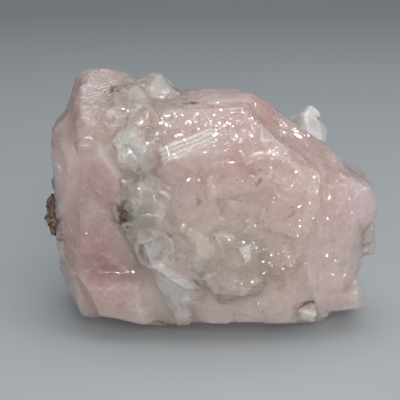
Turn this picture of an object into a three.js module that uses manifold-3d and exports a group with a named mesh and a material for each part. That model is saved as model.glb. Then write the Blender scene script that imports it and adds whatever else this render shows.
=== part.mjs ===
// A rough morganite crystal, 49 mm long: two pink beryl crystals grown together, with a vein of albite
// blades between them, small pearly crystals in a pocket, and a little iron-stained rock on the left end.
// Millimetres, +Z up, +X to the right and -Y to the front. The stone rests on the broken flat under it.
import * as THREE from "three";
import { mergeVertices } from "three/addons/utils/BufferGeometryUtils.js";
import Module from "manifold-3d";

const wasm = await Module();
wasm.setup();

// Driving dimensions
const REACH = 100; // side of the raw block that each crystal is cut from
const SEAM = 0.3; // gap between minerals that touch
const STEP = 0.35; // height of a growth step on a crystal face
const PLATE_DEPTH = 4; // thickness of the slab that a growth plate is cut from
const BOWL_DETAIL = 4; // how finely the bowl of a chip is faceted
const TABLE = 0; // height of the broken flat that the stone rests on

// ---------------------------------------------------------------- solids

function solidOf(geometry) {
  const bare = geometry.clone();
  bare.deleteAttribute("normal");
  bare.deleteAttribute("uv");
  const merged = mergeVertices(bare, 1e-4);
  return new wasm.Manifold(
    new wasm.Mesh({
      numProp: 3,
      vertProperties: new Float32Array(merged.attributes.position.array),
      triVerts: new Uint32Array(merged.index.array),
    }),
  );
}

// The outward direction of a face that is turned azimuth degrees from the front towards the right,
// and tilted elevation degrees above the horizon.
function direction(azimuth, elevation) {
  const [a, e] = [THREE.MathUtils.degToRad(azimuth), THREE.MathUtils.degToRad(elevation)];
  return new THREE.Vector3(Math.sin(a) * Math.cos(e), -Math.cos(a) * Math.cos(e), Math.sin(e));
}

const rawBlock = solidOf(new THREE.BoxGeometry(REACH, REACH, REACH));

// Cuts everything off that lies past a face with this outward direction, at this distance from the centre.
function trim(solid, outward, centre, distance) {
  return solid.trimByPlane(outward.clone().negate().toArray(), -(outward.dot(centre) + distance));
}

// A crystal cut by its faces, each [azimuth, elevation, distance from the centre]. grown moves them all out.
function crystal({ centre, faces }, grown = 0) {
  const middle = new THREE.Vector3(...centre);
  return faces.reduce(
    (rest, [azimuth, elevation, distance]) =>
      trim(rest, direction(azimuth, elevation), middle, distance + grown),
    rawBlock,
  );
}

// The place of something that lies on a face: its own Z points out of the face, its X runs level along
// the face, and roll turns it about Z.
function onFace(place, [azimuth, elevation, roll]) {
  const outward = direction(azimuth, elevation);
  const level = direction(azimuth + 90, 0);
  const uphill = outward.clone().cross(level);
  return new THREE.Matrix4()
    .makeBasis(level, uphill, outward)
    .multiply(new THREE.Matrix4().makeRotationZ(THREE.MathUtils.degToRad(roll)))
    .setPosition(...place);
}

// A straight-edged slab that lies on a face, for ribs, plates and nicks.
function slab(place, pose, size) {
  return solidOf(new THREE.BoxGeometry(...size).applyMatrix4(onFace(place, pose)));
}

// A flat albite blade: its thickness is along the face's Z, its length along Y, with a chisel tip at the
// top and a blunt foot. tip is the angle of the chisel's two sides.
function blade(place, pose, [width, length, thickness], tip = 40, grown = 0) {
  const at = onFace(place, pose);
  const middle = new THREE.Vector3(...place);
  const slope = THREE.MathUtils.degToRad(tip);
  const sides = [
    [1, 0, 0, width / 2],
    [-1, 0, 0, width / 2],
    [0, 0, 1, thickness / 2],
    [0, 0, -1, thickness / 2],
    [0, -1, 0, length / 2],
    [Math.sin(slope), Math.cos(slope), 0, (length / 2) * Math.cos(slope) + width * 0.12],
    [-Math.sin(slope), Math.cos(slope), 0, (length / 2) * Math.cos(slope) + width * 0.05],
    [0, 0.5, 0.87, length * 0.25 + thickness * 0.3],
    [0.7, 0, 0.7, width * 0.35 + thickness * 0.25],
    [-0.8, -0.2, 0.56, width * 0.4 + thickness * 0.2],
  ];
  return sides.reduce((rest, [x, y, z, distance]) => {
    const outward = new THREE.Vector3(x, y, z).normalize().transformDirection(at);
    return trim(rest, outward, middle, distance + grown);
  }, rawBlock);
}

// A rough lump, wider than high where flat is under 1.
function lump(place, radius, flat = 1, turn = 0, grown = 0) {
  const shape = new THREE.IcosahedronGeometry(radius + grown, 1);
  shape.scale(1, 1, flat).rotateY(THREE.MathUtils.degToRad(turn)).translate(...place);
  return solidOf(shape);
}

// A place on a face of a crystal: along it to the right, up it, and out of it, from the point that is
// nearest to the crystal's centre.
function spot({ centre, faces }, [azimuth, elevation], [along, up, out = 0]) {
  const [, , distance] = faces.find(([a, e]) => a === azimuth && e === elevation);
  const outward = direction(azimuth, elevation);
  const level = direction(azimuth + 90, 0);
  return new THREE.Vector3(...centre)
    .addScaledVector(outward, distance + out)
    .addScaledVector(level, along)
    .addScaledVector(outward.clone().cross(level), up)
    .toArray();
}

// A plate that grew on a face and ends where the crystal's other faces end, one growth step high.
function plate([block, face, at, roll, size, height = STEP]) {
  const deep = slab(spot(block, face, at), [...face, roll], [...size, PLATE_DEPTH]);
  return deep.intersect(crystal(block, height));
}

// The bowl that a chip leaves when it breaks off: a shallow part of a large sphere.
function bowl([block, face, [along, up], radius, depth]) {
  const place = spot(block, face, [along, up, radius - depth]);
  return solidOf(new THREE.IcosahedronGeometry(radius, BOWL_DETAIL).translate(...place));
}

const join = (solids) => solids.reduce((whole, next) => whole.add(next));
const cut = (solid, tools) => tools.reduce((rest, tool) => rest.subtract(tool), solid);
// Crumbs that a cut leaves loose fall away.
const whole = (solid) =>
  solid.decompose().reduce((best, part) => (part.volume() > best.volume() ? part : best));

// ---------------------------------------------------------------- the two pink crystals

const MAIN = {
  centre: [4, 1, 17],
  faces: [
    [0, 84, 17.1], // top
    [5, 42, 16.2], // upper front
    [2, 8, 13.5], // front
    [-25, 8, 16.8],
    [20, 4, 15.2],
    [3, -18, 15.1], // lower front
    [-45, -2, 19.4],
    [35, -14, 16],
    [63, 53, 14.9], // upper right
    [120, 54, 14.4],
    [100, 35, 15.8],
    [88, 15, 16.3],
    [62, 8, 15.6],
    [85, -8, 16],
    [60, -30, 18.7],
    [0, -68, 17], // undercut
    [-90, 0, 14], // meets the left crystal
    [180, 32, 11.6], // upper back
    [178, 6, 13.2], // back
    [215, 28, 14.5],
    [130, 10, 14.5],
    [180, -22, 15.5],
    [130, -30, 18.5],
  ],
};

const LEFT = {
  centre: [-15, 1, 18],
  faces: [
    [15, 52, 16.2], // striated crown
    [20, 82, 19.4],
    [62, 62, 17.6],
    [-65, 22, 11.6],
    [-88, 16, 9.8],
    [-88, 4, 7.4],
    [-50, 5, 9.7],
    [-8, 6, 11.3], // front
    [-12, -14, 12.6], // lower front
    [5, -4, 12.6],
    [-70, -12, 10],
    [-88, -40, 13.4],
    [0, -70, 17.5],
    [75, 12, 9],
    [180, 6, 10.5], // back
    [185, 52, 15.1],
    [120, 52, 16.6],
    [215, 18, 11],
    [150, -15, 13],
    [200, -28, 13],
  ],
};

// The broken shoulder on the left end.
const SHOULDER = {
  centre: [-17, 0, 18],
  faces: [
    [0, 88, 14.5],
    [-86, 42, 12.4],
    [-90, 2, 6.7],
    [-88, -14, 7],
    [-62, 3, 7.4],
    [-40, 30, 11.6],
    [-24, -8, 8.2],
    [60, 40, 12],
    [80, 10, 7],
    [0, -80, 13],
    [180, 10, 9],
    [220, 20, 9.5],
    [225, -20, 9],
  ],
};

// The foot that steps out under the left crystal.
const LEFT_FOOT = {
  centre: [-13, -1, 5],
  faces: [
    [-14, 40, 11], // bevel along the step
    [-10, -10, 10.5],
    [-88, -14, 7],
    [-88, -40, 5.6],
    [-60, -20, 7.6],
    [-26, -66, 5.1],
    [20, -8, 11.5],
    [0, 70, 9],
    [75, 12, 6],
    [180, -10, 10],
    [220, -30, 9],
  ],
};

const RIGHT_LOBE = {
  centre: [19, -1, 19],
  faces: [
    [85, 60, 4.2],
    [88, 30, 4.8],
    [90, 4, 5.2],
    [88, -40, 5.6],
    [45, 10, 5.4],
    [15, 5, 7.9],
    [30, -25, 6.2],
    [30, 55, 6.1],
    [-90, 0, 6],
    [0, -80, 9],
    [150, 10, 7],
    [170, 50, 6],
  ],
};

const RIGHT_SIDE = {
  centre: [17, -2, 13],
  faces: [
    [88, -10, 6.2],
    [88, -32, 6.6],
    [88, 20, 6.2],
    [62, -4, 5.4],
    [24, -2, 6.9],
    [70, 50, 6],
    [0, 80, 6],
    [-90, 0, 6],
    [20, -72, 8.6],
    [165, 0, 9],
  ],
};

const RIGHT_TOE = {
  centre: [17, -2, 6],
  faces: [
    [88, 20, 4.8],
    [78, -55, 6],
    [62, 14, 6],
    [24, 0, 7.1],
    [20, -70, 4.3],
    [70, 60, 4.6],
    [-80, -20, 3.4],
    [165, 0, 9],
  ],
};

// The broken ledge below the pocket.
const LEDGE = {
  centre: [4.5, -7, 6],
  faces: [
    [0, -8, 5.2],
    [0, 38, 4.9],
    [0, -68, 4.3],
    [-50, -10, 8.4],
    [50, -10, 8.2],
    [180, 0, 6],
  ],
};

// ---------------------------------------------------------------- growth steps, breaks and chips

// Ribs across the crown face, where the crystal stopped and started as it grew.
const CROWN = [15, 52];
const crownRibs = Array.from({ length: 8 }, (_, i) => {
  const at = [-4 + 0.4 * Math.sin(i * 2.1), 8.4 - 0.95 * i];
  return plate([LEFT, CROWN, at, 6, [4.8 + 0.9 * Math.cos(i * 1.7), 0.5], 0.2]);
});

// Growth plates: [crystal, face, [along, up], roll, [width, height]].
const plates = [
  [MAIN, [5, 42], [-9.6, -1], 21, [11, 2.6]],
  [MAIN, [5, 42], [-9.2, -0.4], 21, [8, 1.6], 0.6],
  [MAIN, [5, 42], [6, 2.4], -14, [9, 4]],
  [MAIN, [0, 84], [1, 1], 12, [13, 6]],
  [LEFT, [-8, 6], [-1, 7], 14, [7, 6]],
  [MAIN, [20, 4], [2, 2], -24, [7, 7]],
  [MAIN, [2, 8], [-1, 6], 12, [9, 5]],
  [MAIN, [178, 6], [-5, -1], 15, [12, 10]],
  [LEFT, [180, 6], [1, -1], -12, [7, 13]],
  [MAIN, [88, 15], [0, 3], 20, [8, 6]],
].map(plate);

// Chips: [crystal, face, [along, up], radius, depth].
const bowls = [
  [MAIN, [20, 4], [10, 5], 6, 1.6],
  [MAIN, [63, 53], [-2, 1], 12, 0.8],
  [MAIN, [180, 32], [2, 1], 14, 1],
  [MAIN, [178, 6], [4, -6], 12, 1.2],
  [MAIN, [130, 10], [0, 0], 8, 1],
  [MAIN, [180, -22], [-2, 3], 14, 1],
  [LEFT, [-88, 4], [2, 4], 7, 0.6],
  [LEFT, [215, 18], [0, 2], 8, 0.8],
  [LEFT, [185, 52], [0, 0], 8, 0.7],
  [RIGHT_TOE, [24, 0], [2, 1], 6, 0.5],
].map(bowl);

const blocks = [MAIN, LEFT, SHOULDER, LEFT_FOOT, RIGHT_LOBE, RIGHT_SIDE, RIGHT_TOE, LEDGE];
const pink = cut(join([...blocks.map((block) => crystal(block)), ...crownRibs, ...plates]), bowls);

// ---------------------------------------------------------------- the albite vein

// Blades of the vein: [place, [azimuth, elevation, roll], [width, length, thickness], tip angle].
const VEIN_TOP = [
  [[-8.3, 0.6, 34.2], [-20, 30, 16], [3, 5.6, 3.2], 30],
  [[-6.3, -0.2, 33.9], [20, 30, -8], [1.5, 3.2, 2.4], 40],
  [[-10.8, -4, 32.4], [-30, 40, 38], [4.4, 8.4, 4], 35],
  [[-13.4, -6.6, 31], [-20, 30, -20], [2.6, 4.4, 3], 45],
  [[-11.4, -8.6, 28.6], [-8, 8, 2], [3.4, 5.4, 3.6], 50],
  [[-9.2, -9.6, 27.2], [10, 4, -36], [2.6, 4.6, 2.8], 40],
  [[-7.8, 4.4, 33], [170, 40, 10], [3.4, 6, 3.4], 40],
];
const VEIN_LOW = [
  [[-9, -10.6, 21.2], [-10, 12, -12], [5, 5.8, 4], 30],
  [[-10.2, -10.8, 17.4], [-20, 0, 20], [2.6, 3.2, 3], 35],
  [[-8.2, -11.2, 15], [-12, 10, 10], [4.4, 7.6, 3.6], 30],
  [[-5.4, -11.6, 14.4], [14, 6, -12], [3, 6.4, 3.4], 45],
  [[-6.2, -11.9, 10.3], [-6, 36, 62], [2, 5.8, 2.4], 40],
  [[-6.2, -11.2, 8], [0, -8, 186], [4, 6, 2.6], 30],
  [[-3.4, -11.6, 8.4], [16, -4, 168], [2.6, 5, 2.6], 40],
  [[-5.9, -10.6, 4.8], [-8, -6, 184], [2, 5.2, 2.2], 35],
  [[-4, -10.6, 5], [8, -6, 174], [1.9, 4.8, 2], 30],
];
const VEIN_BACK = [
  [[-7.6, 9, 25.6], [175, 24, 16], [3.6, 6.4, 3.6], 30],
  [[-8.4, 10.6, 21], [190, 8, -14], [3.4, 5.4, 3.4], 40],
  [[-7.4, 11.2, 17], [165, 4, 20], [3.2, 5.6, 3.2], 35],
  [[-9, 11, 13.6], [200, -6, 8], [2.8, 4, 2.8], 40],
];

// The crystals that stand in the pocket on the right crystal's front, and under its right end.
const POCKET = [
  [[0.6, -11.8, 11.2], [-20, 20, -24], [3, 3.8, 2.6], 40],
  [[2.8, -12, 9.6], [10, 26, 8], [3.2, 3.6, 3], 30],
  [[5.4, -11.9, 10.4], [30, 20, -30], [2.8, 4, 2.6], 45],
  [[3.2, -12, 13.4], [-6, 24, 18], [3, 4.2, 2.6], 40],
  [[5.2, -12, 14.2], [22, 8, -10], [1.8, 2.6, 2.6], 50],
  [[1.6, -12.1, 15.6], [-10, 10, 30], [2, 2.6, 2.2], 40],
];
const TIP = [
  [[14.6, 6.4, 28.2], [40, 20, -14], [3.6, 5.2, 3.2], 42],
  [[15.8, 7, 26.6], [60, 10, -34], [2.8, 4, 2.8], 38],
];
const UNDER = [
  [[12.6, -8.6, 4], [-10, -6, 78], [1.9, 4.4, 2.6], 35],
  [[15, -8, 4.2], [30, -10, 60], [1.6, 3, 2.4], 40],
];
const GRAINS = [
  [[22.4, -2.4, 14.2], [80, 0, 8], [2, 3, 2.6], 40],
  [[22.8, -1.2, 12], [95, -6, -20], [1.8, 2.8, 2.4], 35],
];

const blades = (list, grown = 0) =>
  join(list.map(([place, pose, size, tip]) => blade(place, pose, size, tip, grown)));

// ---------------------------------------------------------------- iron-stained rock

// Lumps: [place, radius, height over width, turn].
const CRUST = [
  [[-23.2, -3.2, 18.4], 1.3, 1.2, 0],
  [[-23.1, -3.8, 16.6], 1.5, 1.1, 20],
  [[-22.9, -3.4, 14.9], 1.2, 1, 40],
  [[-23, -1.6, 17], 1.3, 1.3, 60],
];
const CRUST_HIGH = [
  [[-23, -3, 21.9], 0.8, 1.2, 10],
  [[-23.1, -2.4, 21], 0.7, 1, 50],
];
const SPOT = [
  [[-11.8, -10.9, 20], 0.9, 1.2, 0],
  [[-12.1, -10.9, 18.9], 0.8, 1, 30],
];
const lumps = (list, grown = 0) =>
  join(list.map(([place, radius, flat, turn]) => lump(place, radius, flat, turn, grown)));

// ---------------------------------------------------------------- the specimen

// What grew first leaves a socket in what grew round it.
const albite = { albite_vein_top: VEIN_TOP, albite_vein_low: VEIN_LOW, albite_vein_back: VEIN_BACK };
const small = { albite_tip: TIP, albite_chip_under: UNDER, albite_grains_right: GRAINS };
const rock = { iron_crust: CRUST, iron_crust_high: CRUST_HIGH, iron_spot: SPOT };

const sockets = [
  ...Object.values(albite).map((list) => blades(list, SEAM)),
  ...Object.values(small).map((list) => blades(list, SEAM)),
  blades(POCKET, SEAM),
  ...Object.values(rock).map((list) => lumps(list, SEAM)),
];
const down = direction(0, -90);
const onTable = (solid) => trim(solid, down, new THREE.Vector3(0, 0, TABLE), 0);
const morganite = whole(onTable(cut(pink, sockets)));

function mesh(name, solid, material) {
  const { numProp, vertProperties, triVerts, numVert } = solid.getMesh();
  const corners = new Float32Array(numVert * 3);
  for (let i = 0; i < numVert; i++) corners.set(vertProperties.subarray(i * numProp, i * numProp + 3), i * 3);
  const geometry = new THREE.BufferGeometry()
    .setAttribute("position", new THREE.BufferAttribute(corners, 3))
    .setIndex(new THREE.BufferAttribute(triVerts, 1));
  const made = new THREE.Mesh(geometry, material);
  made.name = name;
  return made;
}

const finish = (color, roughness) => new THREE.MeshStandardMaterial({ color, roughness, metalness: 0 });

const stone = new THREE.Group();
stone.add(mesh("morganite_crystal", morganite, finish(0xc9a7a2, 0.3)));
for (const [name, list] of Object.entries(albite)) {
  stone.add(mesh(name, blades(list), finish(0xb7b1a7, 0.25)));
}
for (const [name, list] of Object.entries(small)) {
  stone.add(mesh(name, blades(list), finish(0xd6d3ce, 0.4)));
}
stone.add(mesh("pearly_crystals", blades(POCKET), finish(0xb9aca4, 0.25)));
for (const [name, list] of Object.entries(rock)) {
  const crust = cut(lumps(list), [blades(VEIN_LOW, SEAM)]);
  stone.add(mesh(name, whole(crust), finish(0x5c463c, 0.9)));
}

// The origin is on the table, under the middle of the stone.
const box = new THREE.Box3().setFromObject(stone);
const middle = box.getCenter(new THREE.Vector3());
stone.position.set(-middle.x, -middle.y, -box.min.z);

export default stone;
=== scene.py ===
# A rough morganite crystal on a pale table: pink beryl with an albite vein, pearly crystals in a pocket
# and iron-stained rock. Metres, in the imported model's own frame: +X right, -Y front, +Z up.
import itertools
import math

import bmesh
import bpy
import numpy as np
from mathutils import Matrix, Vector
from mathutils.bvhtree import BVHTree


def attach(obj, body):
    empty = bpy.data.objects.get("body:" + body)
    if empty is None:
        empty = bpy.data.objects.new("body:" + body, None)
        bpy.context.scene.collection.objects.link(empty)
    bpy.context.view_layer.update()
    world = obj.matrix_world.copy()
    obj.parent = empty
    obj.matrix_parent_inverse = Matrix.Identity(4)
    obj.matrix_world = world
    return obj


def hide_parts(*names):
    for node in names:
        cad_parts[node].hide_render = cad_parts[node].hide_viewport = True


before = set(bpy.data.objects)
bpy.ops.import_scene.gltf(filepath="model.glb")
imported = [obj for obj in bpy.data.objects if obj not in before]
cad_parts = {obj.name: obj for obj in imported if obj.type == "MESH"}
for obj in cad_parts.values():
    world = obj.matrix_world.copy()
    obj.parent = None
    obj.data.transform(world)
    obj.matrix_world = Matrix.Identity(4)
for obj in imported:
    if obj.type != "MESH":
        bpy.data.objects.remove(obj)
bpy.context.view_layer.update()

# ------------------------------------------------------------------ the pink beryl
# Two crystals of morganite that grew into each other, one piece. The faces it grew with are flat and
# glassy, with ribs and low steps. Everything else is a break: uneven, with small flat chips.

MM = 0.001
BERYL_GRAIN = 0.2 * MM  # spacing of the mesh that the surface is worked on
BERYL_TRIANGLES = 190_000
SEAM = 0.2  # half the gap between two minerals, with a little over, in millimetres
BED = 0.2  # how far the beryl lies below what is set in it
VEIN_NODES = ("albite_vein_top", "albite_vein_low", "albite_vein_back")
ROCK_NODES = ("iron_crust", "iron_crust_high", "iron_spot")


def bare_copy(node, name):
    """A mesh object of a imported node's form, with its corners joined up."""
    shape = bmesh.new()
    shape.from_mesh(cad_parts[node].data)
    bmesh.ops.remove_doubles(shape, verts=shape.verts, dist=0.001 * MM)
    mesh = bpy.data.meshes.new(name)
    shape.to_mesh(mesh)
    shape.free()
    piece = bpy.data.objects.new(name, mesh)
    bpy.context.scene.collection.objects.link(piece)
    return piece


def bake(piece):
    """Turns what the piece's modifiers make into its own mesh."""
    made = bpy.data.meshes.new_from_object(piece.evaluated_get(bpy.context.evaluated_depsgraph_get()))
    piece.modifiers.clear()
    piece.data = made


def remesh(piece, grain):
    even = piece.modifiers.new("even", "REMESH")
    even.mode = "VOXEL"
    even.voxel_size = grain
    bake(piece)


def thin_out(piece, most):
    """Brings the triangles down to most, mainly where the surface is flat."""
    triangles = sum(len(face.vertices) - 2 for face in piece.data.polygons)
    if triangles > most:
        fewer = piece.modifiers.new("fewer", "DECIMATE")
        fewer.ratio = most / triangles
        bake(piece)


def points_of(piece):
    """Corner places and outward directions, in millimetres, as two arrays."""
    count = len(piece.data.vertices)
    places = np.empty(count * 3)
    outward = np.empty(count * 3)
    piece.data.vertices.foreach_get("co", places)
    piece.data.vertex_normals.foreach_get("vector", outward)
    return places.reshape(-1, 3) / MM, outward.reshape(-1, 3)


def move_points(piece, places):
    piece.data.vertices.foreach_set("co", (places * MM).ravel())
    piece.data.update()


# Large odd numbers that stir a cell's whole numbers and a seed into one, and then stir that again.
CELL_STIR = (73856093, 19349663, 83492791)
SEED_STIR = 2654435761
STIR_AGAIN = np.uint64(0x9E3779B97F4A7C15)


def scatter(cells, seed, count=3):
    """count numbers from 0 to 1 for each whole-numbered cell, the same every time."""
    mixed = np.uint64(seed * SEED_STIR % 2**32)
    for axis, stir in enumerate(CELL_STIR):
        mixed = mixed + cells[:, axis].astype(np.uint64) * np.uint64(stir)
    made = []
    for _ in range(count):
        mixed = (mixed ^ (mixed >> np.uint64(31))) * STIR_AGAIN
        mixed = mixed ^ (mixed >> np.uint64(29))
        made.append((mixed >> np.uint64(11)).astype(float) / 2**53)
    return np.stack(made, 1)


FIRST_CELL = 500.5  # far enough out that no cell on the stone has a number below zero


def swell(places, size, seed):
    """Smooth noise from -1 to 1, with bumps about size millimetres across."""
    grid = places / size + FIRST_CELL
    cell = np.floor(grid).astype(np.int64)
    inside = grid - cell
    ease = inside**3 * (inside * (inside * 6 - 15) + 10)
    total = np.zeros(len(places))
    for corner in itertools.product((0, 1), repeat=3):
        slope = scatter(cell + corner, seed) * 2 - 1
        share = np.prod(np.where(np.array(corner) == 1, ease, 1 - ease), axis=1)
        total += share * np.sum(slope * (inside - corner), axis=1)
    return total * 1.6  # brings its highest bumps to about 1


def flats(places, size, tilt, seed):
    """A break's small flat chips: each patch about size across leans its own way. Millimetres in height."""
    warped = places + 0.25 * size * np.stack([swell(places, size, seed + i) for i in range(3)], 1)
    grid = warped / size + FIRST_CELL
    cell = np.floor(grid).astype(np.int64)
    nearest = np.full(len(places), 1e9)
    height = np.zeros(len(places))
    for step in itertools.product((-1, 0, 1), repeat=3):
        numbers = scatter(cell + step, seed, 6)
        away = grid - (cell + step + numbers[:, :3])
        distance = np.sum(away**2, axis=1)
        lean = (numbers[:, 3:] * 2 - 1) * tilt
        closer = distance < nearest
        height = np.where(closer, np.sum(away * lean, axis=1) * size, height)
        nearest = np.minimum(distance, nearest)
    return height


def toward(azimuth, elevation):
    """Outward direction of a face turned azimuth degrees from the front to the right, tilted up elevation."""
    a, e = math.radians(azimuth), math.radians(elevation)
    return np.array([math.sin(a) * math.cos(e), -math.cos(a) * math.cos(e), math.sin(e)])


def soft_step(value, low, high):
    t = np.clip((value - low) / (high - low), 0, 1)
    return t * t * (3 - 2 * t)


def facing(outward, azimuth, elevation, within=12):
    """1 on surface that faces this way, 0 where it is turned more than within degrees from it."""
    turned = outward @ toward(azimuth, elevation)
    return soft_step(turned, math.cos(math.radians(within)), math.cos(math.radians(within * 0.5)))


def near(places, centre, reach):
    """1 at the centre, down to 0 at reach millimetres from it."""
    return 1 - soft_step(np.linalg.norm(places - np.array(centre), axis=1), reach * 0.3, reach)


def pull(places, centre, reach, by):
    """Draws the surface round a point along by, as a thumb would in clay."""
    return places + near(places, centre, reach)[:, None] * np.array(by)


def relaxed(piece, rounds):
    """Where the corners would go if the surface were smoothed this many times, in millimetres."""
    soften = piece.modifiers.new("soften", "SMOOTH")
    soften.factor = 0.5
    soften.iterations = rounds
    made = piece.evaluated_get(bpy.context.evaluated_depsgraph_get()).to_mesh()
    places = np.empty(len(made.vertices) * 3)
    made.vertices.foreach_get("co", places)
    piece.modifiers.clear()
    return places.reshape(-1, 3) / MM


def face_axes(azimuth, elevation, roll):
    """The directions along, across and out of a patch that lies on a face, rolled round by roll degrees."""
    out = toward(azimuth, elevation)
    level = toward(azimuth + 90, 0)
    uphill = np.cross(out, level)
    turn = math.radians(roll)
    along = math.cos(turn) * level + math.sin(turn) * uphill
    across = math.cos(turn) * uphill - math.sin(turn) * level
    return along, across, out


def on_face(places, middle, azimuth, elevation, roll):
    """Distances along, across and out of a patch on a face, from its middle."""
    return (places - np.array(middle)) @ np.stack(face_axes(azimuth, elevation, roll), 1)


def cleave(places, middle, azimuth, elevation, reach):
    """Breaks off flat whatever stands out past a face through the middle, within reach of it."""
    out = toward(azimuth, elevation)
    proud = np.maximum((places - np.array(middle)) @ out, 0)
    within = 1 - soft_step(np.linalg.norm(places - np.array(middle), axis=1), reach * 0.75, reach)
    return places - out * (proud * within)[:, None]


def surface_of(meshes):
    """One searchable surface of all these meshes, in millimetres."""
    corners, faces = [], []
    for mesh in meshes:
        faces += [[len(corners) + i for i in face.vertices] for face in mesh.polygons]
        places = np.empty(len(mesh.vertices) * 3)
        mesh.vertices.foreach_get("co", places)
        corners += (places.reshape(-1, 3) / MM).tolist()
    return BVHTree.FromPolygons(corners, faces)


def surface_of_nodes(nodes):
    """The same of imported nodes, given by their names."""
    return surface_of([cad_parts[node].data for node in nodes])


def distance_to(places, surface, limit=4.0):
    """How far each place is from a surface, at most limit, in millimetres."""
    found = (surface.find_nearest(place, limit)[3] for place in places.tolist())
    return np.array([limit if distance is None else distance for distance in found])


def mark(piece, name, shares):
    """Keeps a share from 0 to 1 at every corner, for the materials to read by its name."""
    kept = piece.data.attributes.new(name, "FLOAT", "POINT")
    kept.data.foreach_set("value", shares.astype(np.float32))


def grow(piece, by):
    """Moves the whole surface out by this many millimetres, or in where it is negative."""
    places, outward = points_of(piece)
    move_points(piece, places + outward * by)


def join_in(piece, other):
    """Adds another object's mesh to the piece and removes the other object."""
    shape = bmesh.new()
    shape.from_mesh(piece.data)
    shape.from_mesh(other.data)
    shape.to_mesh(piece.data)
    shape.free()
    bpy.data.objects.remove(other)


beryl = bare_copy("morganite_crystal", "morganite")
remesh(beryl, BERYL_GRAIN)
grow(beryl, SEAM)
set_in = [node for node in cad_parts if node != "morganite_crystal"]
# The crusts at the left edge are pressed this far in towards the stone.
PRESSED_IN = {"iron_crust": 0.35, "iron_crust_high": 0.7}
# The beryl closes round what is set in it, so that the whole stone has one skin.
for node in set_in:
    filling = bare_copy(node, "filling")
    remesh(filling, BERYL_GRAIN)
    grow(filling, SEAM)
    filling.data.transform(Matrix.Translation((PRESSED_IN.get(node, 0) * MM, 0, 0)))
    join_in(beryl, filling)
remesh(beryl, BERYL_GRAIN)
grow(beryl, -SEAM)
places, _ = points_of(beryl)

# The crown is rounder, and the left edge fuller, than the straight cuts make them.
places = pull(places, (-15, -1, 37.5), 6, (0, 0, 0.45))
places = pull(places, (-20, -2, 37.4), 3, (0.3, 0, -0.9))
places = pull(places, (-23, -3, 23.5), 5, (-0.8, 0, 0))
move_points(beryl, places)

# Wear has rounded the edges a little. The bulb at the right end and the end of the ledge are rounder, and so
# is the way from the beryl to the albite that came up between the crystals.
EDGE_WEAR = 16  # rounds of smoothing
BULB_WEAR = 120
MELT = 300
worn = np.clip(0.7 + 0.6 * swell(places, 9, 12), 0.3, 1)
places = places + (relaxed(beryl, EDGE_WEAR) - places) * worn[:, None]
move_points(beryl, places)
passing = [*VEIN_NODES, "pearly_crystals"]
passing_surface = surface_of_nodes(passing)
apart = distance_to(places, passing_surface)
free_tips = np.maximum(near(places, (-8.5, 1, 37), 4), near(places, (-4, -13.5, 4), 3))
melted = (1 - soft_step(apart, 0.8, 3.2)) * (1 - 0.85 * free_tips)
places = places + (relaxed(beryl, MELT) - places) * melted[:, None]
move_points(beryl, places)
bulb = np.maximum(near(places, (21, -4, 19), 9), near(places, (9.5, -12.6, 6), 5.5))
places = places + (relaxed(beryl, BULB_WEAR) - places) * bulb[:, None]

# The bevel on the upper front is a run of low steps that climbs to the right, cut in a growth face.
BEVEL = (-3.6, -11.2, 29)  # its middle
BEVEL_CLIMB = 21  # degrees
BEVEL_FACE = (10, 33)  # degrees round from the front, and up
GROWTH_FACE = (5, 42)  # the face that it is cut in
BEVEL_HALF_LENGTH = 4.2
BEVEL_HALF_WIDTH = 1.35


def bevel_share(places):
    """1 on the bevel and 0 off it."""
    along, across, _ = on_face(places, BEVEL, *GROWTH_FACE, BEVEL_CLIMB).T
    lengthwise = soft_step(BEVEL_HALF_LENGTH - np.abs(along - 0.3), 0, 0.3)
    return lengthwise * soft_step(BEVEL_HALF_WIDTH - np.abs(across), 0, 0.3)


_, _, proud = on_face(places, BEVEL, *BEVEL_FACE, 0).T
places = places - toward(*BEVEL_FACE) * (np.maximum(proud, -0.4) * bevel_share(places))[:, None]

# Smaller breaks: [middle, azimuth, elevation, reach].
BREAKS = [
    ((12.5, -12, 24.5), 40, 30, 3),
    ((-19, -9, 30), -40, 30, 2.5),
    ((-12, -11.2, 30.5), -10, 35, 2),
    ((19.8, -8.5, 9), 50, -10, 3),
    ((8, -11, 28.6), 30, 45, 3),
    ((-20.5, -8.2, 13), -60, 0, 3),
]
for middle, azimuth, elevation, reach in BREAKS:
    places = cleave(places, middle, azimuth, elevation, reach)
move_points(beryl, places)
places, outward = points_of(beryl)


# Ribs cross the crown where the crystal stopped and started as it grew. They climb a little to the right.
CROWN_FACE = (15, 52)
RIB_CLIMB = 18
RIB_PITCH = 0.62


def crown_share(places, outward):
    """1 on the crown's ribbed face and 0 off it."""
    return facing(outward, *CROWN_FACE, 32) * near(places, (-17, -4.5, 35), 8)


_, across, _ = on_face(places, (-16, -5, 35), *CROWN_FACE, RIB_CLIMB).T
rib = (across / RIB_PITCH + 0.7 * swell(places, 3, 8)) % 1
ribs = (rib - 0.5) * (0.4 + 0.6 * soft_step(swell(places * (0.5, 1, 1), 1.6, 9), -0.3, 0.3))
crown = crown_share(places, outward)

# A pale drop with a tail is shut in the front of the right crystal: balls of [x, z, radius].
DROP = [(-0.85, 14.6, 1.35), (-1.3, 15.6, 1.1), (-2.1, 16.4, 0.9), (-3, 17.1, 0.75), (-4, 17.8, 0.7)]


def in_drop(places):
    """How far inside the drop's outline each place is, in millimetres, and below 0 outside it."""
    spread = [radius - np.hypot(places[:, 0] - x, places[:, 2] - z) for x, z, radius in DROP]
    return np.max(spread, axis=0) + 0.1 * swell(places, 1.2, 79)


def drop_share(places, outward):
    """1 on the drop and 0 off it."""
    return soft_step(in_drop(places), 0, 0.3) * (outward[:, 1] < -0.5)


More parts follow.
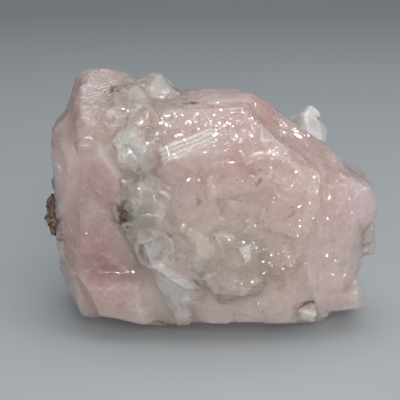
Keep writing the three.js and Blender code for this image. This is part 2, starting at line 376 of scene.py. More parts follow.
resting = soft_step(places[:, 2], 0.05, 0.6)
chipped = soft_step(swell(places, 5, 14), 0.0, 0.4)
grainy = near(places, (0, -9, 31), 9) * facing(outward, *GROWTH_FACE, 20)
# Shell-like arcs round the point where the toe was struck.
STRUCK = (18, -10, 8.4)
ARC_PITCH = 0.9
from_struck = np.linalg.norm(places - np.array(STRUCK), axis=1)
arcs = near(places, (19, -9.6, 6.6), 3.6) * np.cos(from_struck * 2 * math.pi / ARC_PITCH)
albite_near = 1 - soft_step(distance_to(places, passing_surface), 0.0, 1.0)
height = (
    0.15 * swell(places, 6, 1)
    + 0.06 * swell(places, 2.2, 4)
    + (0.3 + 0.7 * chipped) * flats(places, 3.2, 0.08, 21)
    + (0.2 + 0.8 * chipped) * flats(places, 1.3, 0.1, 22)
    + (0.2 + 0.8 * grainy) * flats(places, 0.7, 0.1, 23)
)
height = height * (1 - 0.9 * bevel_share(places)) * (1 - 0.5 * crown) * (1 - 0.6 * albite_near)
height += 0.12 * ribs * crown + 0.03 * arcs + 0.12 * drop_share(places, outward)
places = places + outward * (height * resting)[:, None]
move_points(beryl, places)
skin = surface_of([beryl.data])
places, outward = points_of(beryl)


# The beryl closed again over the other minerals round the drop, and over the foot of the vein: left of a
# slanting line, given by its upper end [x, z] and the direction out of the vein, and right of the lower tips.
VEIN_FOOT = (-8.6, 12.2)
FOOT_OUTWARD = (-0.92, -0.38)
TIPS_RIGHT = -3.2
TIPS_TOP = 7.0


def overgrown(places):
    """1 where the beryl covers the foot of the vein and the drop, and 0 off it."""
    x, y, z = places.T
    wander = 0.35 * swell(places, 1.6, 36)
    beside = (x - VEIN_FOOT[0]) * FOOT_OUTWARD[0] + (z - VEIN_FOOT[1]) * FOOT_OUTWARD[1] + wander
    left = soft_step(beside, 0, 0.6) * soft_step(VEIN_FOOT[1] + 0.6 - z, 0, 1)
    right = soft_step(x - TIPS_RIGHT + wander, 0, 0.6) * soft_step(TIPS_TOP - z, 0, 1) * (x < 1)
    covered = np.maximum(np.maximum(left, right), soft_step(in_drop(places), -0.7, -0.3))
    return covered * (y < -5)


def inside_of(places, mineral_surface):
    """1 within another mineral's share of the stone's skin, 0 beyond its wandering rim."""
    wander = 0.45 * swell(places, 3.2, 33) + 0.25 * swell(places, 1.1, 34) - 0.25
    within = 1 - soft_step(distance_to(places, mineral_surface) + wander, 0.0, 1.0)
    return within * (1 - overgrown(places))


# Under the albite and the pearly crystals the beryl lies lower, as a bed for them.
bed = BED * soft_step(inside_of(places, passing_surface), 0.6, 0.95)
others = surface_of_nodes(node for node in set_in if node not in passing)
bed = np.maximum(bed, BED * (1 - soft_step(distance_to(places, others), 0.0, 0.3)))
move_points(beryl, places - outward * bed[:, None])
thin_out(beryl, BERYL_TRIANGLES)
beryl.data.shade_smooth()
places, outward = points_of(beryl)
apart = distance_to(places, passing_surface) + 1.2 * swell(places, 3.5, 31)
mark(beryl, "hazy", 1 - soft_step(apart, -0.6, 3.0))
mark(beryl, "crown", crown_share(places, outward))
mark(beryl, "bevel", bevel_share(places))
# Where the breaks are fine enough to glitter: [middle, reach].
GLITTERING = [
    ((17.6, -10.2, 19.4), 2.2),
    ((14.9, -10.6, 24), 2.0),
    ((0, -9.4, 31), 6.0),
    ((5.5, -6.5, 32.3), 4.5),
    ((10.5, -4, 30.5), 3.5),
    ((12.5, -9.5, 26.8), 3.2),
    ((-14, -4, 35), 4.5),
    ((-22, -5.4, 28.5), 2.5),
    ((9, -10, 28), 3.0),
    ((10, -13, 12), 4.0),
    ((-17, -10.5, 20), 4.5),
    ((-16, -11, 14), 3.0),
    ((13, -12.3, 8), 3.0),
]
broken = np.full(len(places), 0.2)
for middle, reach in GLITTERING:
    broken = np.maximum(broken, near(places, middle, reach))
mark(beryl, "broken", broken)
rock_surface = surface_of_nodes(ROCK_NODES)
# Iron stains away from the rock: [middle, reach].
STAINS = [
    ((-13.6, -3.6, 35.4), 1.5),
    ((-12, -3, 35.6), 1.6),
    ((-10, -2.4, 35.6), 1.2),
    ((9, -1, 31.8), 1.2),
    ((6, -12.5, 25), 1.0),
    ((-1.7, -12.8, 21.4), 0.7),
    ((-3, -5, 33.9), 1.4),
    ((11, -12.6, 20), 0.8),
    ((-22, -5.5, 15), 1.6),
    ((-23.3, -4, 24.5), 1.2),
    ((-23.6, -3.6, 27), 1.0),
]


def stained(places):
    """How brown the iron has made each place, from 0 to 1: in the seams by the rock, and in some chips."""
    rough = places + 0.8 * np.stack([swell(places, 0.9, 75 + i) for i in range(3)], 1)
    share = 1 - soft_step(distance_to(rough, rock_surface), 0.2, 2.0)
    for middle, reach in STAINS:
        share = np.maximum(share, near(rough, middle, reach))
    return share * soft_step(swell(places, 0.7, 78), -0.35, 0.25)


mark(beryl, "stained", stained(places))
mark(beryl, "drop", drop_share(places, outward))


def add(tree, kind, links=None, **values):
    """A shader node with its settings. links gives its inputs: sockets to link from, or plain values."""
    node = tree.nodes.new(kind)
    for key, value in values.items():
        setattr(node, key, value)
    for name, source in (links or {}).items():
        socket = node.inputs[name]
        if isinstance(source, bpy.types.NodeSocket):
            tree.links.new(source, socket)
        else:
            socket.default_value = source
    return node


def maths(tree, operation, *values):
    """One step of plain maths, as a shader node."""
    node = add(tree, "ShaderNodeMath", dict(enumerate(values)), operation=operation)
    return node.outputs[0]


def between(tree, value, low, high, start=0.0, end=1.0):
    """value taken from low..high to start..end, softly."""
    return add(
        tree,
        "ShaderNodeMapRange",
        {"Value": value, "From Min": low, "From Max": high, "To Min": start, "To Max": end},
        interpolation_type="SMOOTHSTEP",
    ).outputs[0]


def principled(name, **sockets):
    """A material with one Principled shader, whose sockets are plain values."""
    material = bpy.data.materials.new(name)
    material.use_nodes = True
    tree = material.node_tree
    shader = tree.nodes["Principled BSDF"]
    for socket, value in sockets.items():
        shader.inputs[socket.replace("_", " ")].default_value = value
    return material, tree, shader


def srgb(red, green, blue):
    """A colour from its everyday numbers, each between 11 and 255."""
    linear = [((part / 255 + 0.055) / 1.055) ** 2.4 for part in (red, green, blue)]
    return (*linear, 1)


def group(name, inputs, outputs):
    """An empty shader node group with named sockets: inputs {name: value}, outputs {name: kind}."""
    made = bpy.data.node_groups.new(name, "ShaderNodeTree")
    for socket, value in inputs.items():
        kind = "NodeSocketVector" if isinstance(value, tuple) else "NodeSocketFloat"
        made.interface.new_socket(socket, in_out="INPUT", socket_type=kind).default_value = value
    for socket, kind in outputs.items():
        made.interface.new_socket(socket, in_out="OUTPUT", socket_type="NodeSocket" + kind)
    return made, made.nodes.new("NodeGroupInput").outputs, made.nodes.new("NodeGroupOutput").inputs


def vectors(tree, operation, a, b=None):
    """One step of vector maths. SCALE takes a plain number second, and NORMALIZE nothing."""
    links = {0: a}
    if b is not None:
        links["Scale" if operation == "SCALE" else 1] = b
    made = add(tree, "ShaderNodeVectorMath", links, operation=operation)
    return made.outputs["Value" if operation in ("DISTANCE", "DOT_PRODUCT") else "Vector"]


def noise(tree, where, scale, detail, roughness=0.5):
    """Soft noise from 0 to 1, as a shader node: its height is the first output and its colour the second."""
    links = {"Vector": where, "Scale": scale, "Detail": detail, "Roughness": roughness}
    return add(tree, "ShaderNodeTexNoise", links).outputs


def voronoi(tree, where, size, **values):
    """Cells about size millimetres across, as a shader node's outputs."""
    closeness = maths(tree, "DIVIDE", 1.0, size)
    return add(tree, "ShaderNodeTexVoronoi", {"Vector": where, "Scale": closeness}, **values).outputs


CENTRED = (0.5, 0.5, 0.5)  # the middle of a colour's range, taken away to let it point either way


def in_millimetres(tree):
    """The place on the stone, in millimetres."""
    return vectors(tree, "SCALE", add(tree, "ShaderNodeTexCoord").outputs["Object"], 1 / MM)


def drifted(tree, where, scale, amount):
    """A place moved about by noise, so that what is drawn from it has a natural, wandering edge."""
    drift = vectors(tree, "SUBTRACT", noise(tree, where, scale, 3.0)[1], CENTRED)
    return vectors(tree, "ADD", where, vectors(tree, "SCALE", drift, amount))


# A soft ragged patch of another colour round a centre. It draws clouds in the crystals, and on the beryl also
# pools of painted light and painted shade.
cloud_and_light_patch, given, made = group("cloud_and_light_patch", {"Centre": (0, 0, 0), "Reach": 5.0, "Wander": 3.0}, {"Mask": "Float"})
where = drifted(cloud_and_light_patch, in_millimetres(cloud_and_light_patch), 0.22, given["Wander"])
away = vectors(cloud_and_light_patch, "DISTANCE", where, given["Centre"])
cloud_and_light_patch.links.new(between(cloud_and_light_patch, away, 0.0, given["Reach"], 1.0, 0.0), made["Mask"])

# Veils: healed cracks inside a crystal, seen as thin pale lines that come and go.
veils, given, made = group("veils", {"Size": 4.0, "Width": 0.05}, {"Mask": "Float"})
where = drifted(veils, in_millimetres(veils), 0.35, 3.0)
crack = voronoi(veils, where, given["Size"], feature="DISTANCE_TO_EDGE")["Distance"]
line = between(veils, crack, 0.0, given["Width"], 1.0, 0.0)
shown = noise(veils, where, 0.3, 2.0)[0]
veils.links.new(maths(veils, "MULTIPLY", line, between(veils, shown, 0.42, 0.62)), made["Mask"])

# Specks: tiny dark grains shut in a crystal, each somewhere in its own cell.
specks, given, made = group("specks", {"Size": 2.0, "Share": 0.2, "Dot": 0.06}, {"Mask": "Float"})
where = drifted(specks, in_millimetres(specks), 2.5, 0.35)
grain = voronoi(specks, where, given["Size"])
core = maths(specks, "MULTIPLY", given["Dot"], 0.5)
dot = between(specks, grain["Distance"], core, given["Dot"], 1.0, 0.0)
chosen = maths(specks, "LESS_THAN", grain["Color"], given["Share"])
specks.links.new(maths(specks, "MULTIPLY", dot, chosen), made["Mask"])

# Glitter: cleavage flats too small to model. Only a share of the patches are flats. Cleavage lets them face
# only certain ways, so several catch the same lamp. Between them the surface keeps the normal it is given.
GLITTER_INPUTS = {"Normal": (0, 0, 1), "Size": 0.3, "Lean": 0.8, "Share": 0.03}
glitter, given, made = group("glitter", GLITTER_INPUTS, {"Normal": "Vector"})
CLEAVAGE = 0.35  # the step between two ways that a flat may face, in parts of a direction's length
SLIP = 0.14  # how much a flat is still out of line
where = drifted(glitter, in_millimetres(glitter), 1.5, 0.3)
patch = voronoi(glitter, where, given["Size"])["Color"]
chance, askew = add(glitter, "ShaderNodeTexWhiteNoise", {"Vector": patch}, noise_dimensions="3D").outputs
flat = maths(glitter, "LESS_THAN", chance, given["Share"])

upright = add(glitter, "ShaderNodeNewGeometry").outputs["Normal"]
lean = vectors(glitter, "SCALE", vectors(glitter, "SUBTRACT", patch, CENTRED), given["Lean"])
leaning = vectors(glitter, "NORMALIZE", vectors(glitter, "ADD", upright, lean))
# Snapping takes the step below, so half a step is added first.
middled = vectors(glitter, "ADD", leaning, (CLEAVAGE / 2,) * 3)
facet = vectors(glitter, "SNAP", middled, (CLEAVAGE,) * 3)
slip = vectors(glitter, "SCALE", vectors(glitter, "SUBTRACT", askew, CENTRED), SLIP)
facet = vectors(glitter, "NORMALIZE", vectors(glitter, "ADD", facet, slip))
change = vectors(glitter, "SCALE", vectors(glitter, "SUBTRACT", facet, given["Normal"]), flat)
glitter.links.new(vectors(glitter, "ADD", given["Normal"], change), made["Normal"])

# Ribs: fine growth lines, square to the direction Across. Their broken edges carry painted white glints, and
# their thin grooves painted dark shade.
RIB_SHARES = {"Height": "Float", "Edge": "Float", "Groove": "Float"}
ribs, given, made = group("ribs", {"Across": (0, 0, 1), "Pitch": 0.6, "Gaps": 0.46}, RIB_SHARES)
where = drifted(ribs, drifted(ribs, in_millimetres(ribs), 0.45, 0.6), 2.2, 0.16)
far = vectors(ribs, "DOT_PRODUCT", where, given["Across"])
step = maths(ribs, "FRACT", maths(ribs, "DIVIDE", far, given["Pitch"]))
ribs.links.new(step, made["Height"])
stretched = vectors(ribs, "MULTIPLY", where, (1.1, 1, 2.4))
glint_noise = noise(ribs, stretched, 0.9, 5.0, 0.65)[0]
left = between(ribs, glint_noise, given["Gaps"], maths(ribs, "ADD", given["Gaps"], 0.06))
ribs.links.new(maths(ribs, "MULTIPLY", between(ribs, step, 0.38, 0.52), left), made["Edge"])
ribs.links.new(between(ribs, step, 0.2, 0.05), made["Groove"])

# Planes: cleavage planes inside a crystal part it into blocks that are a little paler or darker.
planes, given, made = group("planes", {"Size": 5.0}, {"Mask": "Float"})
where = drifted(planes, in_millimetres(planes), 0.25, 1.5)
block = voronoi(planes, where, given["Size"], feature="SMOOTH_F1")
block["Color"].node.inputs["Smoothness"].default_value = 0.15
planes.links.new(block["Color"], made["Mask"])


def use(tree, tool, **sockets):
    """The first output of a node group that is placed with these values."""
    return add(tree, "ShaderNodeGroup", sockets, node_tree=tool).outputs[0]


def laid_on(tree, under, over, share, amount=1.0):
    """The colour over laid on the colour under, as far as share says."""
    if amount != 1.0:
        share = maths(tree, "MULTIPLY", share, amount)
    mix = add(tree, "ShaderNodeMix", {0: share, 6: under, 7: over}, data_type="RGBA", clamp_factor=True)
    return mix.outputs[2]


def marked(tree, name):
    """A share that the mesh keeps at its corners."""
    return add(tree, "ShaderNodeAttribute", attribute_name=name).outputs["Fac"]


def raised(tree, height, depth, normal=None):
    """A normal with a relief of this height, depth millimetres deep, on it."""
    under = {"Normal": normal} if normal else {}
    return add(tree, "ShaderNodeBump", {"Height": height, "Distance": depth * MM, **under}).outputs[0]


def finish_surface(tree, shader, scale, depth, glints, rough=1.0, normal=None):
    """Gives a material a fine relief, depth millimetres deep where rough is 1, and glittering flats on it."""
    fine = noise(tree, in_millimetres(tree), scale, 5.0)[0]
    uneven = raised(tree, maths(tree, "MULTIPLY", fine, rough), depth, normal)
    tree.links.new(use(tree, glitter, Normal=uneven, **glints), shader.inputs["Normal"])


pink, tree, shader = principled(
    "beryl",
    Roughness=0.1,
    IOR=1.58,
    Subsurface_Weight=1.0,
    Subsurface_Radius=(10.0, 7.5, 7.0),
    Subsurface_Scale=MM,
    Transmission_Weight=0.45,
)
where = in_millimetres(tree)
mottle = noise(tree, where, 0.12, 5.0)[0]
colour = laid_on(tree, srgb(212, 182, 177), srgb(208, 188, 181), between(tree, mottle, 0.35, 0.65))
milkiness = noise(tree, where, 0.7, 4.0)[0]
# Colour zones, among them pools of painted light and painted shade: [centre, reach, wander, colour, amount].
ZONES_AND_PAINTED_LIGHT = [
    # The next two darken and redden the left crystal low down and in its middle: partly its own pinker
    # colour, partly painted shade on the side turned away from the light.
    ((-14, -11, 13), 11, 4, srgb(172, 128, 124), 0.9),
    ((-15, -11, 23), 6, 3, srgb(198, 154, 150), 0.7),
    ((4, -13, 17), 13, 6, srgb(190, 173, 154), 0.95),
    ((9, -13, 12), 7, 4, srgb(176, 156, 138), 0.7),
    ((8.4, -2, 32), 5, 4, srgb(212, 160, 158), 0.6),
    ((4.3, -12, 27), 5, 4, srgb(208, 162, 158), 0.5),
    ((20, -7, 14), 12, 5, srgb(216, 196, 194), 0.7),
    ((19.3, -9.4, 6), 4.5, 3, srgb(214, 182, 180), 0.5),
    ((-11, -7, 31), 8, 4, srgb(200, 188, 176), 0.8),
    ((-9, -12, 18), 7, 4, srgb(190, 178, 168), 0.8),
    ((-6, -13, 10), 5, 3, srgb(196, 182, 172), 0.7),
    # A paler band low on the left: painted light on the top of the ledge there, which faces up.
    ((-15, -12.5, 6.5), 6, 4, srgb(212, 178, 174), 0.6),
    ((4, -12.8, 5), 7, 4, srgb(206, 184, 174), 0.7),
    # A pale patch on the left edge: painted light.
    ((-21, -7, 25), 5.5, 2, srgb(240, 218, 214), 0.9),
    # A darker patch on the upper left, below the crown: painted shade.
    ((-16.5, -6, 31.5), 4.5, 2, srgb(190, 158, 156), 0.75),
    # The top face made paler: painted light from above.
    ((0, -3, 34.5), 8, 3, srgb(240, 222, 218), 0.85),
    ((21, -6, 20), 6, 2, srgb(224, 210, 212), 0.8),
    ((17, -10, 12), 6, 3, srgb(214, 198, 198), 0.6),
]
for centre, reach, wander, tint, amount in ZONES_AND_PAINTED_LIGHT:
    colour = laid_on(tree, colour, tint, use(tree, cloud_and_light_patch, Centre=centre, Reach=reach, Wander=wander), amount)
colour = laid_on(tree, colour, srgb(232, 212, 204), use(tree, planes, Size=4.5), 0.22)
colour = laid_on(tree, colour, srgb(176, 150, 144), between(tree, milkiness, 0.5, 0.75), 0.35)
colour = laid_on(tree, colour, srgb(238, 222, 216), between(tree, milkiness, 0.5, 0.28), 0.22)
colour = laid_on(tree, colour, srgb(236, 222, 218), use(tree, veils, Size=6.0, Width=0.08), 0.2)
colour = laid_on(tree, colour, srgb(240, 230, 226), use(tree, veils, Size=2.6, Width=0.06), 0.12)
colour = laid_on(tree, colour, srgb(244, 234, 230), use(tree, veils, Size=1.1, Width=0.07), 0.14)
# The beryl clears towards the albite, so that one passes into the other.
colour = laid_on(tree, colour, srgb(204, 190, 176), marked(tree, "hazy"), 0.5)
colour = laid_on(tree, colour, srgb(226, 208, 192), marked(tree, "drop"), 0.7)
colour = laid_on(tree, colour, srgb(100, 74, 64), marked(tree, "stained"), 0.8)
colour = laid_on(tree, colour, srgb(92, 70, 64), use(tree, specks, Size=2.2, Share=0.2, Dot=0.06), 0.85)
# The bevel is painted pale: a painted highlight of the light that its flat face mirrors.
colour = laid_on(tree, colour, srgb(246, 230, 226), marked(tree, "bevel"), 0.75)
# The growth lines of the crown and the bevel: [mark, their face, pitch, gaps, depth, how strongly their edges
# are painted white as glints].
RIBBED = [
    ("crown", (*CROWN_FACE, RIB_CLIMB), 0.46, 0.5, 0.1, 0.85),
    ("bevel", (*BEVEL_FACE, BEVEL_CLIMB), 0.62, 0.48, 0.06, 0.7),
]
normal = None
for where_marked, face, pitch, gaps, depth, glint_paint in RIBBED:
    across = tuple(face_axes(*face)[1])
    lines = add(tree, "ShaderNodeGroup", {"Across": across, "Pitch": pitch, "Gaps": gaps}, node_tree=ribs)
    here = marked(tree, where_marked)
    # Their edges are painted near white as glints, and their grooves painted dark as shade.
    painted_glint = maths(tree, "MULTIPLY", lines.outputs["Edge"], here)
    colour = laid_on(tree, colour, srgb(252, 247, 245), painted_glint, glint_paint)
    groove_shade = maths(tree, "MULTIPLY", lines.outputs["Groove"], here)
    colour = laid_on(tree, colour, srgb(150, 118, 112), groove_shade, 0.75)
    normal = raised(tree, maths(tree, "MULTIPLY", lines.outputs["Height"], here), depth, normal)
tree.links.new(colour, shader.inputs["Base Color"])
share = maths(tree, "MULTIPLY", marked(tree, "broken"), 0.45)
rough = between(tree, marked(tree, "broken"), 0.15, 1.0, 0.5, 3.5)
finish_surface(tree, shader, 4.0, 0.0065, {"Size": 0.23, "Lean": 1.1, "Share": share}, rough, normal)
beryl.data.materials.append(pink)
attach(beryl, "root")
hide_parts("morganite_crystal")

# ------------------------------------------------------------------ the albite vein
# Blades of glassy grey-white albite that fill the seam between the two pink crystals, in three runs.
# The blades of a run grew into each other, and their frosted tips stand proud of the beryl.


def fused(node, name, grain, more, close, rounds=4):
    """A node's crystals, more millimetres larger and melted together at their joints by close."""
    piece = bare_copy(node, name)
    remesh(piece, grain)
    grow(piece, more + close)
    remesh(piece, grain)
    grow(piece, -close)
    move_points(piece, relaxed(piece, rounds))
    return piece


socket = surface_of_nodes(["morganite_crystal"])


def lay_on_skin(piece, node, grain, lift):
    """Brings a mineral's surface down to the stone's skin, lift higher inside its rim and under it beyond."""
    mineral = surface_of_nodes([node])
    places, _ = points_of(piece)
    found = [skin.find_nearest(place) for place in places.tolist()]
    foot = np.array([point for point, _, _, _ in found])
    way = np.array([out for _, out, _, _ in found])
    outside = np.sum((places - foot) * way, axis=1)
    share = inside_of(foot, mineral)
    on_skin = foot + way * (lift * soft_step(share, 0.4, 1.0) - BED * soft_step(0.5 - share, 0, 0.5))[:, None]
    move_points(piece, np.where(outside[:, None] > -0.4, on_skin, places))
    remesh(piece, grain)
    move_points(piece, relaxed(piece, 5))
    places, _ = points_of(piece)
    within = distance_to(places, socket) + 0.5 * swell(places, 2.5, 35)
    mark(piece, "rim", 1 - soft_step(within, 0.1, 1.8))
    return soft_step(inside_of(places, mineral), 0.6, 0.95)


def ridge(places, start, end, width):
    """1 on the line from start to end, down to 0 at width above it and at once below it."""
    start, line = np.array(start), np.array(end) - np.array(start)
    part = np.clip((places - start) @ line / (line @ line), 0, 1)
    offset = places - start - part[:, None] * line
    away = np.linalg.norm(offset, axis=1)
    return np.clip(1 - away / np.where(offset[:, 2] > 0, width, 0.3), 0, 1)


VEIN_GRAIN = 0.14 * MM
GROWN_OUT = 1.2  # how far its form is grown out, to reach the skin, in millimetres
MELTED = 0.3  # how far its crystals are melted together
# The raised edges of the larger blades, bruised white: [start, end, width, height].
BLADE_EDGES = [
    ((-7.9, -13.8, 12.2), (-3.2, -14, 8.9), 1.4, 0.45),
    ((-9.5, -13.3, 15.4), (-8.3, -13.6, 12.4), 0.8, 0.25),
    ((-5.6, -13.7, 7.2), (-3.6, -13.6, 7.1), 0.9, 0.2),
    ((-11.2, -12.9, 22.8), (-10.9, -13, 21.2), 0.4, 0.2),
    ((-7, -13, 22.8), (-5.8, -13, 22), 0.5, 0.15),
    ((-12.8, -10.6, 30.2), (-12.7, -11.2, 26.6), 0.9, 0.3),
]
# Where the blades are milky instead of grey and clear: [middle, reach].
MILKY = [
    ((-11.4, -11, 28.8), 3.4),
    ((-10.6, -11, 27), 2.4),
    ((-14, -7, 33), 1.6),
    ((-5.2, -13.6, 7), 1.3),
    ((-4.4, -13.8, 4.4), 2.4),
    ((-6, -14, 9.6), 2.8),
    ((-7.5, -2.5, 35.8), 2.8),
    ((-8.4, -13.4, 14.8), 1.8),
    ((-8.5, 2, 36), 3.0),
    ((-10.8, -6.8, 33.1), 1.4),
]
# Where they break into glittering steps: [middle, reach].
STEPPED = [
    ((-10.8, -6.8, 33.1), 1.8),
    ((-8.7, -13.5, 15.4), 1.2),
    ((-5.6, -13.7, 14.2), 1.4),
    ((-10.5, -13, 22.4), 1.2),
    ((-9.5, -13.2, 20.2), 1.5),
    ((-8, 0, 37), 2.0),
    ((-5.5, -13.6, 7.4), 1.6),
]
for node in VEIN_NODES:
    vein = fused(node, node + "_blades", VEIN_GRAIN, GROWN_OUT, MELTED)
    inner = lay_on_skin(vein, node, VEIN_GRAIN, 0.15)
    places, outward = points_of(vein)
    height = 0.15 * swell(places, 2.4, 41) + flats(places, 3.0, 0.16, 42) + flats(places, 1.2, 0.06, 43)
    milky = np.zeros(len(places))
    for start, end, width, rise in BLADE_EDGES:
        edge = ridge(places, start, end, width)
        height += rise * edge
        milky = np.maximum(milky, np.minimum(edge * 1.6, 1))
    for middle, reach in MILKY:
        milky = np.maximum(milky, 0.75 * near(places + 0.4 * swell(places, 1.2, 44)[:, None], middle, reach))
    stepped = np.full(len(places), 0.25)
    for middle, reach in STEPPED:
        stepped = np.maximum(stepped, near(places, middle, reach))
    move_points(vein, places + outward * (height * inner)[:, None])
    mark(vein, "milky", milky)
    mark(vein, "broken", stepped)
    mark(vein, "stained", stained(places))
    vein.data.shade_smooth()
    material, tree, shader = principled(
        node + "_glass",
        Roughness=0.1,
        IOR=1.53,
        Subsurface_Weight=1.0,
        Subsurface_Radius=(3.5, 3.5, 3.3),
        Subsurface_Scale=MM,
        Transmission_Weight=0.55,
    )
    where = in_millimetres(tree)
    cloudy = noise(tree, where, 0.35, 3.0)[0]
    colour = laid_on(tree, srgb(190, 184, 175), srgb(212, 207, 200), between(tree, cloudy, 0.4, 0.62))
    colour = laid_on(tree, colour, srgb(207, 190, 182), marked(tree, "rim"), 0.85)
    colour = laid_on(tree, colour, srgb(232, 231, 228), marked(tree, "milky"), 0.85)
    colour = laid_on(tree, colour, srgb(112, 92, 82), marked(tree, "stained"), 0.6)
    tree.links.new(colour, shader.inputs["Base Color"])
    share = maths(tree, "MULTIPLY", marked(tree, "broken"), 0.5)
    finish_surface(tree, shader, 2.5, 0.008, {"Size": 0.28, "Lean": 1.1, "Share": share})
    vein.data.materials.append(material)
    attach(vein, "root")
    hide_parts(node)

# ------------------------------------------------------------------ the white albite
# Small albite crystals on their own: the white one behind the ridge, the chip under the right end and the
# grains on the right edge. Milky white and waxy, with clearer patches.

# Each is [how much larger than its form in millimetres, clear colour, milky colour].
WHITES = {
    "albite_tip": (0.2, srgb(206, 200, 194), srgb(220, 220, 220)),
    "albite_chip_under": (0.35, srgb(182, 170, 160), srgb(204, 197, 190)),
    "albite_grains_right": (0.45, srgb(178, 168, 158), srgb(192, 184, 176)),
}
for node, (more, clear, milky) in WHITES.items():
    white = fused(node, node + "_crystals", VEIN_GRAIN, more, MELTED)
    places, outward = points_of(white)
    height = 0.06 * swell(places, 2.0, 51) + flats(places, 2.2, 0.05, 52)
    # The crystal behind the ridge is narrower on its right.
    places = pull(places, (18, 4, 30), 3.5, (-0.6, 0, 0))
    move_points(white, places + outward * height[:, None])
    white.data.shade_smooth()
    material, tree, shader = principled(
        node + "_wax",
        Roughness=0.3,
        IOR=1.53,
        Subsurface_Weight=1.0,
        Subsurface_Radius=(1.6, 1.6, 1.6),
        Subsurface_Scale=MM,
        Transmission_Weight=0.35,
    )
    where = in_millimetres(tree)
    milk = noise(tree, where, 0.5, 4.0)[0]
    colour = laid_on(tree, clear, milky, between(tree, milk, 0.36, 0.5))
    tree.links.new(colour, shader.inputs["Base Color"])
    finish_surface(tree, shader, 2.0, 0.01, {"Size": 0.3, "Lean": 0.6, "Share": 0.03})
    white.data.materials.append(material)
    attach(white, "root")
    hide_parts(node)

# ------------------------------------------------------------------ the pearly crystals
# Small colourless crystals that grew in a pocket on the front. They are almost as clear as the beryl behind
# them, with one white flake among them and a glittering crust along their right side.

pearls = fused("pearly_crystals", "pearly_crystals_druse", VEIN_GRAIN, GROWN_OUT, MELTED)
inner = lay_on_skin(pearls, "pearly_crystals", VEIN_GRAIN, 0.12)
places, outward = points_of(pearls)
height = 0.1 * swell(places, 1.6, 61) + flats(places, 2.2, 0.12, 62) + flats(places, 0.7, 0.05, 63)
# Their raised edges, over the stone's front: [x and z of the start, of the end, width, height].
PEARL_EDGES = [
    ((0.5, 16.6), (0.9, 13.6), 0.9, 0.22),
    ((0.5, 16.6), (3.4, 16.4), 0.7, 0.18),
    ((-0.9, 10.4), (0.4, 8.4), 1.2, 0.25),
    ((0.4, 8.4), (4.4, 8.2), 1.0, 0.22),
    ((4.4, 8.2), (6.2, 10), 0.9, 0.2),
]
IN_FRONT = -30  # y of a place well in front of the stone
BACKWARD = Vector((0, 1, 0))
pale = np.zeros(len(places))
for start, end, width, rise in PEARL_EDGES:
    ends = [skin.ray_cast(Vector((x, IN_FRONT, z)), BACKWARD)[0] for x, z in (start, end)]
    edge = ridge(places, *ends, width)
    height += rise * edge
    pale = np.maximum(pale, np.minimum(edge * 1.3, 1))
# The white flake is a thin three-cornered blade that lies on them: its outline, corner by corner.
FLAKE = [(3.5, 15), (5.3, 15.6), (5.4, 13.6), (4.6, 13.0)]
inward = []
for (x0, z0), (x1, z1) in zip(FLAKE, FLAKE[1:] + FLAKE[:1]):
    length = math.hypot(x1 - x0, z1 - z0)
    inward.append(((places[:, 0] - x0) * (z1 - z0) - (places[:, 2] - z0) * (x1 - x0)) / length)
flake = soft_step(np.min(inward, axis=0), -0.05, 0.12) * (outward[:, 1] < -0.2)
height += 0.25 * flake
move_points(pearls, places + outward * (height * inner)[:, None])
pearls.data.shade_smooth()
druse = near(places, (6.2, -13.6, 10), 3.2) * (outward[:, 1] < -0.3)
mark(pearls, "broken", np.maximum(druse, 0.3))
mark(pearls, "flake", flake)
mark(pearls, "pale", pale)
material, tree, shader = principled(
    "pearl",
    Roughness=0.1,
    IOR=1.54,
    Subsurface_Weight=1.0,
    Subsurface_Radius=(4.5, 4.2, 4.0),
    Subsurface_Scale=MM,
    Transmission_Weight=0.6,
)
where = in_millimetres(tree)
milk = noise(tree, where, 0.4, 3.0)[0]
colour = laid_on(tree, srgb(204, 192, 180), srgb(222, 212, 208), between(tree, milk, 0.4, 0.6))
colour = laid_on(tree, colour, srgb(204, 190, 178), marked(tree, "rim"), 0.8)
lilac = use(tree, cloud_and_light_patch, Centre=(2, -14, 10), Reach=3.4, Wander=1.0)
colour = laid_on(tree, colour, srgb(222, 208, 210), lilac, 0.8)
colour = laid_on(tree, colour, srgb(240, 236, 230), marked(tree, "pale"), 0.7)
colour = laid_on(tree, colour, srgb(246, 242, 238), marked(tree, "flake"), 0.85)
tree.links.new(colour, shader.inputs["Base Color"])
share = maths(tree, "MULTIPLY", marked(tree, "broken"), 0.5)
finish_surface(tree, shader, 2.5, 0.01, {"Size": 0.25, "Lean": 1.1, "Share": share})
pearls.data.materials.append(material)
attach(pearls, "root")
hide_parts("pearly_crystals")

# ------------------------------------------------------------------ the iron-stained rock
# Crusts of the brown rock that the crystals grew on: a rough crumbly mass of dark grains with paler bits,
# stuck to the left edge and in the seam beside the vein.

ROCK_GRAIN = 0.12 * MM
for node in ROCK_NODES:
    crust = fused(node, node + "_crumbs", ROCK_GRAIN, 0.2, 0.5)
    crust.data.transform(Matrix.Translation((PRESSED_IN.get(node, 0) * MM, 0, 0)))
    places, outward = points_of(crust)
    height = 0.25 * swell(places, 1.3, 71) + 0.2 * swell(places, 0.5, 74) + flats(places, 0.6, 0.3, 72)
    move_points(crust, places + outward * height[:, None])
    material, tree, shader = principled(node + "_rust", Roughness=0.7)
    where = in_millimetres(tree)
    crumbs = noise(tree, where, 1.6, 6.0)[0]
    colour = laid_on(tree, srgb(62, 46, 38), srgb(128, 104, 88), between(tree, crumbs, 0.4, 0.68))
    bits = noise(tree, where, 2.6, 2.0)[0]
    colour = laid_on(tree, colour, srgb(170, 150, 136), between(tree, bits, 0.6, 0.68), 0.5)
    tree.links.new(colour, shader.inputs["Base Color"])
    finish_surface(tree, shader, 3.0, 0.04, {"Size": 0.3, "Lean": 0.6, "Share": 0.1})
    crust.data.materials.append(material)
    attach(crust, "root")
    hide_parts(node)

# ------------------------------------------------------------------ table, light and camera
# A pale table that curves up behind the stone, three wide soft lights round it, and small lamps for the
# glints. The camera looks a little down on the front, where the vein and the pocket are.

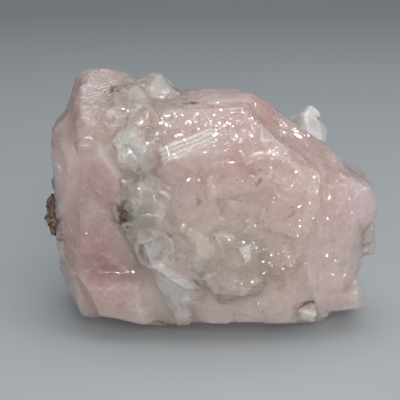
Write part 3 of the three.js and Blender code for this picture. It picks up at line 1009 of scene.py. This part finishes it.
TABLE_COLOUR = srgb(166, 171, 173)
TABLE_FRONT = -0.6
TABLE_BACK = 0.5
TABLE_HALF_WIDTH = 1.2
SWEEP = 0.3  # radius of the curve from the table to the wall behind
WALL_TOP = 1.2
table = bpy.data.meshes.new("table")
rise = [(y, 0.0) for y in np.linspace(TABLE_FRONT, TABLE_BACK, 12)]
turns = np.linspace(0.1, math.pi / 2, 14)
rise += [(TABLE_BACK + SWEEP * math.sin(turn), SWEEP * (1 - math.cos(turn))) for turn in turns]
rise += [(TABLE_BACK + SWEEP, WALL_TOP)]
corners = [(side * TABLE_HALF_WIDTH, y, z) for y, z in rise for side in (-1, 1)]
strips = [(2 * i, 2 * i + 1, 2 * i + 3, 2 * i + 2) for i in range(len(rise) - 1)]
table.from_pydata(corners, [], strips)
table.shade_smooth()
table_top = bpy.data.objects.new("table", table)
bpy.context.scene.collection.objects.link(table_top)
matt, _, _ = principled("table_paint", Base_Color=TABLE_COLOUR, Roughness=0.6)
table.materials.append(matt)

MIDDLE = Vector((0, 0, 0.018))  # of the stone, where the lamps look


def soft_light(name, direction, distance, size, watts, soft=True, shine=True):
    """A square lamp that looks at the stone. It may leave out the soft light or the shine."""
    lamp = bpy.data.lights.new(name, "AREA")
    lamp.size = size
    lamp.energy = watts
    holder = bpy.data.objects.new(name, lamp)
    holder.location = MIDDLE + Vector(direction).normalized() * distance
    holder.rotation_euler = (-Vector(direction)).to_track_quat("-Z", "Y").to_euler()
    holder.visible_glossy = shine
    holder.visible_diffuse = soft
    holder.visible_transmission = soft
    bpy.context.scene.collection.objects.link(holder)


soft_light("right_window", (0.6, -0.4, 0.7), 0.5, 0.3, 0.6, shine=False)
soft_light("front_window", (0.2, -1, 0.38), 0.5, 0.3, 1.95, shine=False)
soft_light("roof_window", (0, 0.1, 1), 0.5, 0.4, 1.0, shine=False)
# Small lamps that only the shine sees, for the glints: [degrees round from the front, degrees up, watts].
LAMPS = [
    (25, 49, 0.09),
    (47, 62, 0.04),
    (0, 21, 0.16),
    (37, 17, 0.16),
    (-37, 17, 0.16),
    (0, 37, 0.16),
    (55.5, 27, 0.16),
    (-55.5, 27, 0.16),
    (0, 74, 0.16),
    (76, 55.5, 0.16),
    (-76, 55.5, 0.16),
    (89, 12, 0.16),
    (-89, 12, 0.16),
    (180, 69, 0.16),
    (132, 47, 0.16),
]
LAMP_DISTANCE = 0.4
LAMP_SIZE = 0.015
for number, (azimuth, elevation, watts) in enumerate(LAMPS):
    way = toward(azimuth, elevation)
    soft_light(f"lamp_{number}", way, LAMP_DISTANCE, LAMP_SIZE, watts, soft=False)
ROOM_COLOUR = (0.84, 0.9, 0.97, 1)
ROOM_LIGHT = 0.32
world = bpy.data.worlds.new("room")
bpy.context.scene.world = world
world.use_nodes = True
walls = world.node_tree.nodes["Background"].inputs
walls["Color"].default_value = ROOM_COLOUR
walls["Strength"].default_value = ROOM_LIGHT

AIM = Vector((-1.7, -0.56, 18.2)) * MM
DISTANCE = 150 * MM
TILT = math.radians(16)
camera = bpy.data.objects.new("camera", bpy.data.cameras.new("camera"))
camera.data.lens = 90
camera.data.sensor_width = 36
camera.data.clip_start = 0.01
camera.location = AIM + DISTANCE * Vector((0, -math.cos(TILT), math.sin(TILT)))
camera.rotation_euler = (math.pi / 2 - TILT, 0, 0)
bpy.context.scene.collection.objects.link(camera)
bpy.context.scene.camera = camera
bpy.context.scene.view_settings.view_transform = "Standard"
